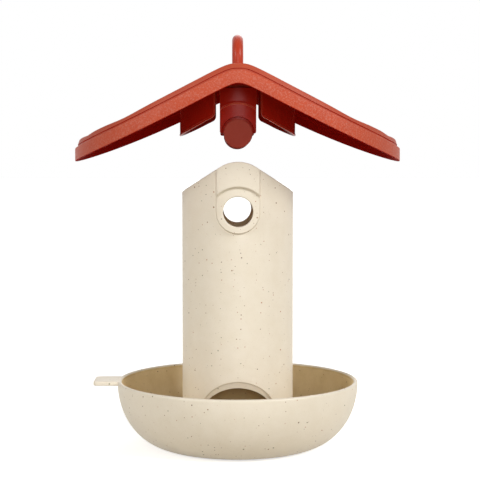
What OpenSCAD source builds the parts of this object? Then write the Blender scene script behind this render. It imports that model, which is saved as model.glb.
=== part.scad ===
// Silo bird feeder: a round seed tray, a seed silo that twists into it, and a lift-off roof
// on two sprung latches. Front is -Y, up is +Z, and the origin is the middle of the tray's underside.

/* [Seed tray] */
// Outer diameter of the rim
tray_d = 200; // [170:1:240]
// Height of the rim above the ground
tray_h = 55; // [45:1:75]
// Diameter of the flat underside
tray_base_d = 112; // [96:1:124]
// Wall of the bowl
tray_wall = 3.2; // [2.4:0.1:4]
// Thickness of the floor
tray_floor = 3.5; // [2.5:0.1:5]
// Thickness of the rounded rim bead
rim_bead = 4.2; // [3.6:0.1:6]
// How far the thumb tab stands out past the rim
tab_len = 19.5; // [12:0.5:30]
// Width of the thumb tab
tab_w = 29; // [18:0.5:40]
// Thickness of the thumb tab
tab_t = 3.6; // [2.5:0.1:5]
// Corner radius of the thumb tab
tab_r = 4; // [1:0.5:6]
// Diameter of each drain hole
drain_d = 3.6; // [2:0.1:5]
// Number of drain holes
drain_count = 8; // [4:1:12]
// How far outside the flat underside the drain holes lie
drain_out = 6.5; // [4:0.5:10]

/* [Twist lock] */
// Height of the tray's lock ring above the floor
ring_h = 11; // [9:0.5:14]
// Wall of the lock ring
ring_wall = 3.4; // [2.6:0.1:4]
// Width of each locking lug
lug_w = 12; // [6:0.5:16]
// Height of each locking lug
lug_h = 3.3; // [2:0.1:4]
// How far each lug reaches in from the tube's wall
lug_reach = 2.6; // [1.8:0.1:3]
// Height of each lug above the tray floor
lug_rise = 3.2; // [2.6:0.1:4.5]
// Angle turned between locked and free
twist_angle = 30; // [20:1:40]

/* [Seed divider] */
// Height of the divider's ridge above the tray floor
divider_h = 46; // [34:0.5:50]
// Wall of the divider
divider_wall = 2; // [1.5:0.1:3]
// Height of the divider's upright foot
divider_foot = 4; // [2.5:0.5:8]
// Width of the divider's flat ridge
divider_ridge = 4; // [2:0.5:8]

/* [Silo tube] */
// Outer diameter of the tube
tube_d = 92; // [86:0.5:100]
// Wall of the tube
tube_wall = 3.5; // [3:0.1:4.5]
// Height of the gable's crown above the ground
tube_top = 236; // [230:1:246]
// Slope of the gabled top edge, in degrees
gable_angle = 32.5; // [26:0.5:36]
// Radius that rounds the gable's crown
gable_r = 27; // [18:1:34]
// Radius of each feed arch
arch_r = 32; // [24:0.5:34]
// Height of the feed arch's centre above the ground, at the inside of the wall
arch_z = 22.4; // [18:0.2:28]
// How much higher the arch lies at the outside of the wall
arch_rise = 4.8; // [2:0.2:6]

/* [Latch pocket] */
// Height of the button hole above the ground
hole_z = 196.2; // [186:0.5:200]
// Diameter of the button hole
hole_d = 24; // [20:0.25:26]
// Width of the raised strip that hides the pocket
strip_w = 35.2; // [34:0.2:38]
// How far the upper strip stands out from the tube
strip_out = 5; // [4.4:0.1:6]
// How far the ring round the hole stands out from the tube
ring_out = 2.6; // [2.4:0.1:3.4]
// Radius of the arched ledge round the hole
ledge_r = 20.8; // [20:0.1:22]
// Wall in front of the tongue's shoulder
pocket_wall = 2; // [1.6:0.1:2.4]
// Wall in front of the tongue below that shoulder
recess_wall = 3; // [2.6:0.1:3.4]
// Wall between the pocket and the strip's sides
pocket_side = 2.8; // [2:0.1:3.4]
// Thickness of the ledge that carries the shoulder
ledge_t = 1.8; // [1.5:0.1:3]

/* [Roof] */
// Width of the roof from tip to tip
roof_w = 268; // [230:1:300]
// Depth of the roof from front to back
roof_depth = 200; // [180:1:240]
// Slope of the roof at the ridge, as rise over run
roof_slope = 0.555; // [0.45:0.005:0.65]
// How much the slope eases off towards the tips, per mm
roof_flare = 0.00069; // [0:0.00001:0.0009]
// Half width of the rounded ridge
ridge_round = 6.5; // [3:0.5:12]
// Height of the outer skirt
skirt_h = 10; // [8:0.5:14]
// Rise of the first step above the skirt
step_rise = 4.3; // [3:0.1:6]
// Rise of each shallow terrace above that
terrace_rise = 1; // [0.5:0.1:2]
// How far the first step lies in from the edge
step_inset = 2.2; // [1.5:0.1:5]
// How far the first terrace lies in from the edge
terrace_1 = 17; // [12:0.5:26]
// How far the second terrace lies in from the edge
terrace_2 = 46; // [36:0.5:56]
// Wall of the roof
roof_wall = 2.5; // [2:0.1:3.5]
// How far below the skirt the collar reaches
collar_drop = 15.7; // [10:0.1:20]
// Wall of the collar
collar_wall = 1.5; // [1.2:0.1:2.5]
// Corner radius of the collar's blades
collar_corner = 3; // [1:0.5:5]
// How high the roof is held above its seat
roof_raised = 62.3; // [45:0.1:120]
// Space above the tube's crown when the roof is seated
crown_gap = 10.2; // [9:0.1:14]

/* [Latches] */
// Clearance all round each button in its hole
button_gap = 0.5; // [0.3:0.05:1]
// Diameter of the button's stem
stem_d = 12; // [8:0.5:14]
// How far the button overhangs the tongue's round end
button_lip = 1; // [0.5:0.1:2]
// Thickness of the sprung tongue
tongue_t = 2.6; // [2:0.1:3]
// Diameter of the bead at the tongue's root
bead_d = 5.2; // [4:0.1:6]
// Thickness of the block above the root bead
root_cover = 4.5; // [2:0.1:6]
// Wall of the block behind the root bead
root_wall = 2; // [1.5:0.1:3]

/* [Hanging loop] */
// Diameter of the loop's round bar
loop_bar_d = 9; // [6:0.25:10]
// Distance between the loop's legs, centre to centre
loop_span = 32; // [26:0.5:38]
// Height of the loop above the roof's ridge
loop_h = 29.5; // [26:0.5:45]
// Diameter of the pin that holds the loop under the ridge
loop_pin_d = 3.2; // [2:0.1:4]
// How far the loop's legs reach below that pin
loop_foot = 2.4; // [1.5:0.1:3]

/* [Fits] */
// Clearance between parts that slide or turn on each other
slide_gap = 0.3; // [0.2:0.05:0.5]
// Clearance between a latch's shoulder and the ledge under it, which it needs as it swings in
ledge_gap = 0.8; // [0.7:0.05:1.2]
// Clearance between the collar and the tube
collar_gap = 0.5; // [0.3:0.05:0.9]
// Clearance of a stem or pin in its hole
pin_gap = 0.05; // [0.02:0.01:0.1]

/* [Hidden] */

cream = "#e6dac3";
brick = "#a8452f";
dark_brick = "#8f3a2b";

big = 400;
cut = 1;
eps = 0.01;
tray_r = tray_d / 2;
base_r = tray_base_d / 2;
tube_r = tube_d / 2;
tube_in = tube_r - tube_wall;

// Lock ring inside the tube's foot, with an L-shaped slot for each lug
ring_r = tube_in - slide_gap;
ring_in = ring_r - ring_wall;
foot_z = tray_floor + slide_gap;
lug_z = tray_floor + lug_rise;
slot_h = lug_h + 2 * slide_gap;
lug_half = asin(lug_w / 2 / tube_in);
slot_half = lug_half + asin(slide_gap / tube_in);
divider_r = ring_in - slide_gap;

// Latch pocket: radii are measured from the tube's axis
strip_r = tube_r + strip_out;
ring_face_r = tube_r + ring_out;
pocket_r = strip_r - pocket_wall;
pocket_w = strip_w - 2 * pocket_side;
pocket_arc_r = ledge_r + ledge_t;
recess_r = ring_face_r - recess_wall;

// Roof: heights follow one curve, from the ridge down to the tips
terrace_insets = [terrace_1, terrace_2];
top_rise = skirt_h + step_rise;
crown_rise = top_rise + len(terrace_insets) * terrace_rise;
ceiling_rise = crown_rise - roof_wall;
ridge_z = tube_top + crown_gap - ceiling_rise + roof_raised;
collar_in = tube_r + collar_gap;
collar_r = collar_in + collar_wall;
slot_w = strip_w + 2 * collar_gap;
oval_sides = 72;
profile_n = 15;
hollow_h = 50;

// Latch tongue inside that pocket
tongue_r = recess_r - slide_gap;
tongue_in = tongue_r - tongue_t;
tongue_mid = tongue_r - tongue_t / 2;
tongue_w = pocket_w - 2 * slide_gap;
shoulder_r = pocket_r - slide_gap;
shoulder_arc_r = pocket_arc_r + ledge_gap;
button_d = hole_d - 2 * button_gap;
button_z = hole_z + roof_raised;
button_face = sqrt(pow(pocket_r, 2) - pow(button_d / 2, 2)) - slide_gap;
lobe_r = button_d / 2 - button_lip;
root_z = roof_h(tongue_w / 2, ceiling_rise) - root_cover - slide_gap - bead_d / 2;

// Loop: straight legs, then a half ring
loop_r = loop_span / 2;
ridge_top = roof_z(0) + crown_rise;
ceiling_z = roof_z(0) + ceiling_rise;
loop_arc_z = ridge_top + loop_h - loop_bar_d / 2 - loop_r;
loop_pin_z = ceiling_z - loop_pin_d / 2 - slide_gap;
loop_foot_z = loop_pin_z - loop_pin_d / 2 - loop_foot;

// Height of the skirt's lower edge at distance x from the ridge
function roof_z(x) =
    ridge_z + roof_slope * ridge_round - roof_slope * sqrt(x * x + ridge_round * ridge_round)
    + roof_flare * x * x;

// Distances from the ridge, closer together where the ridge is rounded
function roof_x(i) = sign(i) * (roof_w / 2 + roof_wall) * pow(abs(i) / profile_n, 1.5);

// Angle of the roof's slope at distance x from the ridge
function roof_angle(x) =
    atan(roof_slope * x / sqrt(x * x + ridge_round * ridge_round) - 2 * roof_flare * x);

// Height of a surface h away from the skirt's lower edge: square to the slope above it, upright below
function roof_h(x, h) = roof_z(x) + (h > 0 ? h / cos(roof_angle(x)) : h);

function arc_points(r, a0, a1, n) =
    [for (i = [0 : n]) let (a = a0 + (a1 - a0) * i / n) [r * sin(a), r * cos(a)]];

// Lays a shape drawn in X and Z along the whole depth
module through_y(depth = big) {
    rotate([90, 0, 0]) linear_extrude(depth, center = true) children();
}

// Cylinder along Y at height z
module bar_y(r, z, depth = big) {
    translate([0, 0, z]) rotate([90, 0, 0]) cylinder(r = r, h = depth, center = true, $fn = 96);
}

// Repeats a front shape at the back
module front_and_back() {
    children();
    rotate([0, 0, 180]) children();
}

module pipe(r_out, r_in, z0, z1) {
    difference() {
        translate([0, 0, z0]) cylinder(r = r_out, h = z1 - z0, $fn = 160);
        translate([0, 0, z0 - cut]) cylinder(r = r_in, h = z1 - z0 + 2 * cut, $fn = 160);
    }
}

// Sector of a ring from angle a0 to a1
module ring_sector(r_out, r_in, z0, z1, a0, a1) {
    steps = 6;
    far = 2 * r_out;
    rim = [for (i = [0 : steps]) let (a = a0 + (a1 - a0) * i / steps) [far * cos(a), far * sin(a)]];
    intersection() {
        pipe(r_out, r_in, z0, z1);
        translate([0, 0, z0 - cut]) linear_extrude(z1 - z0 + 2 * cut) polygon(concat([[0, 0]], rim));
    }
}

// Quarter ellipse from the flat underside up to the rim
function bowl_points(r0, r1, z0, z1, n = 22) =
    [for (i = [0 : n]) let (a = 90 * i / n) [r0 + (r1 - r0) * sin(a), z1 - (z1 - z0) * cos(a)]];

module bowl() {
    rim_z = tray_h - rim_bead / 2;
    outside = bowl_points(base_r, tray_r, 0, rim_z);
    inside = bowl_points(base_r, tray_r - tray_wall, tray_floor, rim_z);
    rotate_extrude($fn = 160) {
        difference() {
            polygon(concat([[0, 0]], outside, [[0, rim_z]]));
            polygon(concat([[0, tray_floor]], inside,
                [[tray_r - tray_wall, rim_z + cut], [0, rim_z + cut]]));
        }
        translate([tray_r - rim_bead / 2, rim_z]) circle(d = rim_bead, $fn = 48);
    }
}

module thumb_tab() {
    x_in = tray_r - tray_wall;
    x_out = tray_r + tab_len;
    translate([0, 0, tray_h - tab_t]) linear_extrude(tab_t) {
        translate([-x_out, -tab_w / 2 + tab_r]) square([x_out - x_in, tab_w - 2 * tab_r]);
        translate([-x_out + tab_r, -tab_w / 2]) square([x_out - x_in - tab_r, tab_w]);
        for (side = [-1, 1]) {
            translate([-x_out + tab_r, side * (tab_w / 2 - tab_r)]) circle(r = tab_r, $fn = 48);
        }
    }
}

module lock_ring() {
    ring_top = tray_floor + ring_h;
    slot_z = lug_z - slide_gap;
    difference() {
        pipe(ring_r, ring_in, tray_floor - cut, ring_top);
        for (a = [0, 180]) {
            rotate([0, 0, a]) {
                ring_sector(ring_r + cut, ring_in - cut, slot_z, slot_z + slot_h,
                    -twist_angle - slot_half, slot_half);
                ring_sector(ring_r + cut, ring_in - cut, slot_z, ring_top + cut,
                    -twist_angle - slot_half, -twist_angle + slot_half);
            }
        }
    }
}

module seed_tray() {
    drain_r = base_r + drain_out;
    color(cream) difference() {
        union() {
            bowl();
            thumb_tab();
            lock_ring();
        }
        for (i = [0 : drain_count - 1]) {
            rotate([0, 0, (i + 0.5) * 360 / drain_count]) translate([drain_r, 0, -cut])
                cylinder(d = drain_d, h = tray_floor + drain_out, $fn = 32);
        }
    }
}

// Ridge-shaped insert that parts the seed towards the two arches, drawn in by inset all round
module divider_wedge(inset) {
    reach = divider_r - inset;
    half = divider_ridge / 2;
    slope = atan((divider_h - divider_foot) / (divider_r - half));
    ridge = half - inset * tan(slope / 2);
    top = divider_h - inset;
    foot = divider_foot - inset * (1 / cos(slope) - tan(slope));
    intersection() {
        translate([0, 0, tray_floor]) cylinder(r = reach, h = divider_h, $fn = 160);
        rotate([0, 0, 90]) through_y(2 * reach) translate([0, tray_floor])
            polygon([[-reach, -eps], [reach, -eps], [reach, foot], [ridge, top], [-ridge, top],
                [-reach, foot]]);
    }
}

module seed_divider() {
    color(cream) difference() {
        divider_wedge(0);
        translate([0, 0, -eps]) divider_wedge(divider_wall);
    }
}

// Everything under the gabled top edge
module under_gable(z_low) {
    a = gable_angle;
    arc_z = tube_top - gable_r;
    crown = [for (p = arc_points(gable_r, -a, a, 14)) [p[0], p[1] + arc_z]];
    side = 2 * tube_r;
    side_z = arc_z + gable_r * cos(a) - (side - gable_r * sin(a)) * tan(a);
    through_y() polygon(concat([[-side, z_low], [-side, side_z]], crown, [[side, side_z], [side, z_low]]));
}

// Arch-shaped opening with its centre at height z, from below the foot to its round top
module arch(z) {
    through_y() {
        translate([0, z]) circle(r = arch_r, $fn = 96);
        translate([-arch_r, -cut]) square([2 * arch_r, z + cut]);
    }
}

// The feed arches: their crown slopes up through the wall, in fine steps
module feed_arches() {
    steps = 5;
    arch(arch_z);
    for (i = [1 : steps]) {
        r_cut = tube_in + tube_wall * (i - 0.5) / steps;
        difference() {
            arch(arch_z + arch_rise * i / steps);
            translate([0, 0, -2 * cut]) cylinder(r = r_cut, h = big, $fn = 160);
        }
    }
}

// Flat outline of the raised strip: straight sides down to a round end at the hole
module strip_outline(half, z_top) {
    translate([0, hole_z]) circle(r = half, $fn = 96);
    translate([-half, hole_z]) square([2 * half, z_top - hole_z]);
}

// The front half of a cylinder of radius r behind an outline
module front_slab(r, z0, z1) {
    intersection() {
        translate([0, 0, z0]) cylinder(r = r, h = z1 - z0, $fn = 160);
        translate([0, -big / 4, 0]) through_y(big / 2 - eps) children();
    }
}

module strip_front() {
    low = hole_z - strip_w;
    high = tube_top + cut;
    front_slab(ring_face_r, low, high) strip_outline(strip_w / 2, high);
    front_slab(strip_r, low, high) difference() {
        translate([-strip_w / 2, hole_z]) square([strip_w, high - hole_z]);
        translate([0, hole_z]) circle(r = ledge_r, $fn = 96);
    }
}

module pocket_front() {
    high = tube_top + cut;
    front_slab(pocket_r, hole_z, high) difference() {
        translate([-pocket_w / 2, hole_z]) square([pocket_w, high - hole_z]);
        translate([0, hole_z]) circle(r = pocket_arc_r, $fn = 96);
    }
    front_slab(recess_r, hole_z, high)
        translate([-pocket_w / 2, hole_z]) square([pocket_w, high - hole_z]);
}

module tube_lugs() {
    lug_in = tube_in - lug_reach;
    for (a = [0, 180]) {
        rotate([0, 0, a]) ring_sector(tube_in + cut, lug_in, lug_z, lug_z + lug_h, -lug_half, lug_half);
    }
}

module silo_tube() {
    color(cream) union() {
        difference() {
            intersection() {
                union() {
                    translate([0, 0, foot_z]) cylinder(r = tube_r, h = tube_top, $fn = 160);
                    front_and_back() strip_front();
                }
                under_gable(0);
            }
            cylinder(r = tube_in, h = big, $fn = 160);
            front_and_back() pocket_front();
            bar_y(hole_d / 2, hole_z);
            feed_arches();
        }
        tube_lugs();
    }
}

// Oval outline of the roof, drawn in by inset all round
module roof_oval(inset) {
    a = roof_w / 2 - inset;
    b = roof_depth / 2 - inset;
    polygon([for (i = [0 : oval_sides - 1]) let (t = 360 * i / oval_sides) [a * cos(t), b * sin(t)]]);
}

// Outline in X and Z between two heights above the skirt's lower edge
module roof_band(low, high) {
    xs = [for (i = [-profile_n : profile_n]) roof_x(i)];
    upper = [for (x = xs) [x, roof_h(x, high)]];
    lower = [for (i = [len(xs) - 1 : -1 : 0]) [xs[i], roof_h(xs[i], low)]];
    polygon(concat(upper, lower));
}

// One oval slab of the roof, bent over the ridge
module roof_slab(inset, low, high) {
    intersection() {
        through_y() roof_band(low, high);
        translate([0, 0, ridge_z - big / 2]) linear_extrude(big) roof_oval(inset);
    }
}

// Everything below the stepped ceiling
module under_roof() {
    roof_slab(roof_wall, -hollow_h, skirt_h - roof_wall);
    roof_slab(step_inset + roof_wall, -hollow_h, top_rise - roof_wall);
    for (i = [0 : len(terrace_insets) - 1]) {
        roof_slab(terrace_insets[i] + roof_wall, -hollow_h,
            top_rise + (i + 1) * terrace_rise - roof_wall);
    }
}

module roof_shell() {
    color(brick) difference() {
        union() {
            roof_slab(0, 0, skirt_h);
            roof_slab(step_inset, skirt_h - roof_wall, top_rise);
            for (i = [0 : len(terrace_insets) - 1]) {
                roof_slab(terrace_insets[i], top_rise - roof_wall, top_rise + (i + 1) * terrace_rise);
            }
        }
        under_roof();
        for (side = [-1, 1]) {
            translate([0, side * loop_r, ridge_z])
                cylinder(d = loop_bar_d + 2 * pin_gap, h = loop_h, $fn = 64);
        }
    }
}

// Block under the ceiling with the round groove that the tongue's root sits in
module latch_root_front() {
    block_low = root_z - bead_d / 4;
    block_in = tongue_mid - bead_d / 2 - root_wall;
    difference() {
        intersection() {
            front_slab(shoulder_r, block_low, ridge_z + hollow_h)
                translate([-tongue_w / 2, block_low]) square([tongue_w, hollow_h]);
            translate([-big / 2, -block_in - big, 0]) cube(big);
            under_roof();
        }
        translate([0, -tongue_mid, root_z]) rotate([0, 90, 0])
            cylinder(d = bead_d + 2 * slide_gap, h = big, center = true, $fn = 64);
    }
}

// What rounding takes off a blade's lower corner beside the slot
module blade_corner() {
    r = collar_corner;
    x0 = slot_w / 2;
    a = roof_angle(x0 + r);
    centre = [x0 + r, roof_z(x0 + r) - collar_drop + r / cos(a)];
    difference() {
        polygon([[x0 - cut, centre[1]], centre, centre - (r + eps) * [sin(a), cos(a)],
            [x0 - cut, centre[1] - 2 * r]]);
        translate(centre) circle(r = r, $fn = 48);
    }
}

module roof_collar() {
    color(brick) {
        intersection() {
            difference() {
                pipe(collar_r, collar_in, ridge_z - big / 4, ridge_z + big / 4);
                translate([-slot_w / 2, -big / 2, 0]) cube([slot_w, big, 2 * big]);
                through_y() blade_corner();
                through_y() mirror([1, 0]) blade_corner();
            }
            through_y() roof_band(-collar_drop, hollow_h);
            under_roof();
        }
        front_and_back() latch_root_front();
    }
}

module hanging_loop() {
    color(brick) difference() {
        union() {
            translate([0, 0, loop_arc_z]) rotate([90, 0, 90])
                rotate_extrude(angle = 180, $fn = 96) translate([loop_r, 0]) circle(d = loop_bar_d, $fn = 48);
            for (side = [-1, 1]) {
                translate([0, side * loop_r, loop_foot_z])
                    cylinder(d = loop_bar_d, h = loop_arc_z - loop_foot_z, $fn = 96);
            }
        }
        bar_y(loop_pin_d / 2 + pin_gap, loop_pin_z);
    }
}

module loop_pin() {
    color(dark_brick) bar_y(loop_pin_d / 2, loop_pin_z, loop_span + loop_bar_d + 2 * loop_foot);
}

// Sprung tongue at the front: root bead, flat neck, plate with a thick arched shoulder, button seat
module latch_front() {
    plate_top = root_z - bead_d / 2 - 2 * slide_gap;
    difference() {
        union() {
            front_slab(tongue_r, button_z - button_d, plate_top) {
                translate([-tongue_w / 2, button_z]) square([tongue_w, plate_top - button_z]);
                translate([0, button_z]) circle(r = lobe_r, $fn = 96);
            }
            front_slab(shoulder_r, button_z, plate_top) difference() {
                translate([-tongue_w / 2, button_z]) square([tongue_w, plate_top - button_z]);
                translate([0, button_z]) circle(r = shoulder_arc_r, $fn = 96);
            }
        }
        translate([0, 0, button_z - button_d]) cylinder(r = tongue_in, h = big, $fn = 160);
        translate([0, -tongue_mid, button_z]) rotate([90, 0, 0])
            cylinder(d = button_d + 2 * slide_gap, h = button_d, $fn = 96);
        translate([0, 0, button_z]) rotate([90, 0, 0])
            cylinder(d = stem_d + 2 * pin_gap, h = big, $fn = 64);
    }
    translate([-tongue_w / 2, -tongue_r, plate_top - tongue_t])
        cube([tongue_w, tongue_t, root_z - plate_top + tongue_t]);
    translate([0, -tongue_mid, root_z]) rotate([0, 90, 0])
        cylinder(d = bead_d, h = tongue_w, center = true, $fn = 64);
}

// Round press button with a stem that plugs into the tongue
module button_front() {
    translate([0, -tongue_mid, button_z]) rotate([90, 0, 0])
        cylinder(d = button_d, h = button_face - tongue_mid, $fn = 96);
    translate([0, -tongue_in, button_z]) rotate([90, 0, 0])
        cylinder(d = stem_d, h = tongue_t / 2 + eps, $fn = 64);
}

module front_latch() {
    color(brick) latch_front();
}

module front_button() {
    color(dark_brick) button_front();
}

module back_latch() {
    color(brick) rotate([0, 0, 180]) latch_front();
}

module back_button() {
    color(dark_brick) rotate([0, 0, 180]) button_front();
}

seed_tray();
seed_divider();
silo_tube();
roof_shell();
roof_collar();
hanging_loop();
loop_pin();
front_latch();
front_button();
back_latch();
back_button();
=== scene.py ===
"""Silo bird feeder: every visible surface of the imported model, its finishes and a pale studio.

Front is -Y and up is +Z. Shapes are worked out in millimetres and go into the meshes in metres.
"""

import math

import bpy
import numpy as np
from bpy.props import FloatProperty, FloatVectorProperty, PointerProperty
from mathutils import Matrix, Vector
from mathutils.geometry import delaunay_2d_cdt


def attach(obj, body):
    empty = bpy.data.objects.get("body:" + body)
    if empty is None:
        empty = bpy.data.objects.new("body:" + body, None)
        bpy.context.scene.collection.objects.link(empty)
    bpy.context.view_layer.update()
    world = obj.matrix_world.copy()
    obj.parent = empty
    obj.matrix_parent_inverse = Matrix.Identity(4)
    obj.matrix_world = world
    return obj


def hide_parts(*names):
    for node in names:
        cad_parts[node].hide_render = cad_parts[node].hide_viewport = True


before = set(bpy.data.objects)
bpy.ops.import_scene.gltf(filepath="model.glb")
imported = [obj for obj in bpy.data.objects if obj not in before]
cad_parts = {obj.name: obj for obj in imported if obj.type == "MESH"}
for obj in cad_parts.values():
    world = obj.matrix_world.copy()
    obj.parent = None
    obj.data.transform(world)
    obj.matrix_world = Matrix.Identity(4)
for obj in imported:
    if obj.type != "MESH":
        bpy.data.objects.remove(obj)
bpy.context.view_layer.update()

bl_info = {
    "name": "Silo bird feeder",
    "version": (1, 0, 0),
    "blender": (4, 5, 0),
    "location": "3D View > Sidebar > Feeder",
    "description": "Builds the visible pieces and finishes of a hanging seed feeder",
    "category": "Object",
}

MM = 0.001
WELD = 1e-4
SEAM = 1e-3
SHARP = 0.01
TURN = 2 * math.pi
UPRIGHT = math.pi / 2
CREASE = math.radians(35)

# Seed tray; the painted shade inside stops short of the rim
TRAY_R = 100.0
BASE_R = 56.0
TRAY_H = 55.0
TRAY_WALL = 3.2
TRAY_FLOOR = 3.5
SHADE_STOP = 1.2
TAB_OUT = 119.5
TAB_IN = 97.0
TAB_HALF = 14.5
TAB_T = 3.6
TAB_CORNER = 4.0
TAB_LIP = 0.8
DRAIN_R = 1.8
DRAIN_RING = 62.5
DRAINS = 8

# Lock ring and seed divider
RING_OUT = 42.2
RING_IN = 38.8
RING_TOP = 14.5
SLOT_LOW = 6.4
SLOT_HIGH = 10.3
SLOT_HALF = math.radians(8.5)
TWIST = math.radians(30)
DIVIDER_R = 38.5
DIVIDER_TOP = 49.5
DIVIDER_FOOT = 7.5
DIVIDER_WALL = 2.0
DIVIDER_SINK = 2.4
DIVIDER_LIP = 0.8
DIVIDER_BEND = 3.0

# Silo tube; the blends are the widths of the level steps at its edges
TUBE_R = 46.0
TUBE_IN = 42.5
TUBE_FOOT = 3.8
TUBE_STRAIGHT = (33, 42)
GABLE_CREST = 236.0
GABLE_R = 27.0
GABLE_ANGLE = math.radians(32.5)
ARCH_R = 32.0
ARCH_Z = 27.2
ARCH_RISE = 4.8
HOLE_Z = 196.2
HOLE_R = 12.0
HOLE_RING = 14.2
STRIP_HALF = 17.6
STRIP_OUT = 5.0
STRIP_BLEND = 1.4
STRIP_SHIFT = 0.15
RING_STEP = 2.6
LEDGE_R = 24.4
LEDGE_DROP = 5.1
LEDGE_BLEND = 3.0
POCKET_HALF = 14.8
POCKET_R = 49.0
POCKET_ARC = 22.6
POCKET_BLEND = 0.5
GABLE_SHIFT = 15.0
ARCH_SHIFT = 20.0
RECESS_R = 45.6

# Roof; each terrace is its inset and height, each dip its depth, place and width along sin t
ROOF_A = 134.0
ROOF_B = 100.0
RIDGE_Z = 294.7
ROOF_SLOPE = 0.555
ROOF_FLARE = 0.00069
RIDGE_ROUND = 6.5
SKIRT_H = 10.0
STEP_INSET = 2.2
STEP_TOP = 14.3
STEP_EDGE = 15.2
STEP_LEAN = 1.4
TERRACES = ((17.0, 15.3), (46.0, 17.2))
TERRACE_EDGE = 16.6
TERRACE_DIP = 1.6
STEP_DIPS = ((0.7, 0.38, 0.07), (1.0, 0.735, 0.1))
GROOVE = 1.6
GROOVE_DEPTH = 0.55
ROOF_WALL = 2.5
CEILING = TERRACES[-1][1] - ROOF_WALL + 0.4

# Collar, latches and loop
COLLAR_IN = 46.5
COLLAR_OUT = 48.0
COLLAR_STRAIGHT = (22, 34)
COLLAR_DROP = 15.7
COLLAR_CORNER = 3.0
COLLAR_SLOT = 18.1
FRAME_INSET = 1.6
FRAME_DEPTH = 0.4
FRAME_BLEND = 0.8
BUTTON_Z = 258.5
BUTTON_R = 11.5
BUTTON_FACE = 47.33
STEM_R = 6.0
TONGUE_OUT = 45.3
TONGUE_IN = 42.7
TONGUE_MID = 44.0
TONGUE_HALF = 14.5
TONGUE_TOP = 294.37
TONGUE_CORNER = 2.0
LOBE_R = 10.5
SHOULDER_R = 48.7
SHOULDER_ARC = 23.4
SHOULDER_BEAD = 0.22
RECESS_EDGE = 13.2
RECESS_DEPTH = 2.4
ROOT_Z = 297.57
ROOT_LIP = 0.6
BEAD_R = 2.6
NECK_HALF = 1.3
NECK_OPEN = 1.047
LOOP_BAR = 4.5
LOOP_R = 16.0
LOOP_TOP = 340.5
LOOP_FOOT = 302.6
LOOP_LIP = 0.8
PIN_Z = 306.6
PIN_R = 1.6
PIN_PROUD = 2.4

# Studio: the camera's lens in mm, its angles in degrees and its place in metres; each lamp's
# turn from the front to the right, height and width in degrees, and its power
CAMERA = {"lens": 97.5, "aside": 0.6, "pitch": 3.302, "away": 1.0797, "shift": 0.002, "up": 0.2335}
FLOOR_HALF = 20000.0
LAMPS = {"right_box": (56, 26, 18, 1.95), "left_box": (-54, 22, 18, 1.25),
         "front_box": (3, 9, 26, 0.86), "rear_box": (170, 38, 40, 0.6)}

# Flecks in the composite: cell and fleck radius in mm, and the share of cells with a fleck. Real
# ones go down to 0.1 mm; these are as coarse as the render needs to show them.
FLECKS = ((3.9, 0.5, 0.3), (2.6, 0.34, 0.35))
DUST = "#a58f6c"
FLECK_HUES = ((0.0, "#8f6b48"), (0.35, "#b07a58"), (0.6, "#7a7450"), (0.8, "#6a4a34"))

COMPOSITES = {
    # As moulded: pale cream, cloudy, speckled and dull
    "moulded_fibre_composite": ("cream", "cream_deep"),
    # Painted shade: the same composite, darker, warmer and more yellow, inside the bowl, on the
    # divider and in the tube's bore, for the shade and coloured bounce light there
    "stained_fibre_composite": ("stain", "stain_deep"),
}

# Two colours, roughness, specular level, grain width and depth in mm, how far the clouds deepen
# the colour, how far the grain's crests are painted pale as a painted sheen, and whether the tips
# get painted shade. A real spark grain is about 0.1 mm wide; it is drawn ten times as coarse,
# which is what the render can show.
PLASTICS = {
    # Blasted steel mould: brick red with a painted sheen of pale crests on its grain, and painted
    # shade browner towards the tips
    "grained_roof_plastic": ("brick", "brick_deep", 0.48, 0.27, 1.15, 0.14, 0.9, 0.3, True),
    # Painted shade: the same moulding on the step's riser, painted a darker red with almost no
    # pale crests, for the shade that falls on that band
    "smooth_riser_plastic": ("riser", "riser_deep", 0.46, 0.2, 1.15, 0.12, 0.9, 0.04, True),
    # Polished mould: wet-looking deep red with small clear highlights
    "glossy_latch_plastic": ("latch", "latch_deep", 0.26, 0.12, 0.8, 0.006, 0.5),
    # Painted highlight: the rounded edges of the latches and blades are painted paler, and a
    # little duller, for the light that they catch
    "rubbed_edge_plastic": ("rubbed", "latch", 0.35, 0.2, 1.2, 0.01, 0.5),
    # Polished mould, handled: one soft highlight along the bar
    "smooth_loop_plastic": ("brick_deep", "latch", 0.34, 0.22, 1.1, 0.02, 0.4),
    # Milled core side of the roof: matt, with hardly any shine, and painted shade: a darker,
    # deeper red than the outside on the faces that look down or inward
    "matt_lining_plastic": ("lining", "lining_deep", 0.6, 0.02, 1.1, 0.01, 0.6),
    # Fine eroded face: an even brownish red that a thumb doesn't slip on
    "matt_button_plastic": ("button", "button_deep", 0.5, 0.18, 0.9, 0.02, 0.5),
}
# Painted sheen: the pale colour laid on the grain's crests
CREST_SHEEN = "#eba793"
# Painted shade: the browner colour towards the roof's tips, from 75 mm off the middle
TIP_SHADE = "#8e3a24"
TIP_SHADE_FROM = 75.0
TIP_SHADE_SHARE = 0.55


def linear(code, alpha=1.0):
    """Turns an sRGB hex colour into the linear numbers that shaders take."""
    parts = [int(code[i:i + 2], 16) / 255 for i in (1, 3, 5)]
    return [c / 12.92 if c <= 0.04045 else ((c + 0.055) / 1.055) ** 2.4 for c in parts] + [alpha]


def stacked(*parts):
    """Points, from one array or number for each of their coordinates."""
    return np.stack(np.broadcast_arrays(*parts), -1)


def quarter_turn(count):
    """Angles from 0 to 90 degrees."""
    return np.linspace(0, UPRIGHT, count)


def level_step(d, width):
    """From 0 to 1 across a band of that width about d = 0: 6 k^5 - 15 k^4 + 10 k^3."""
    k = np.clip(d / width + 0.5, 0, 1)
    return k ** 3 * (k * (6 * k - 15) + 10)


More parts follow.
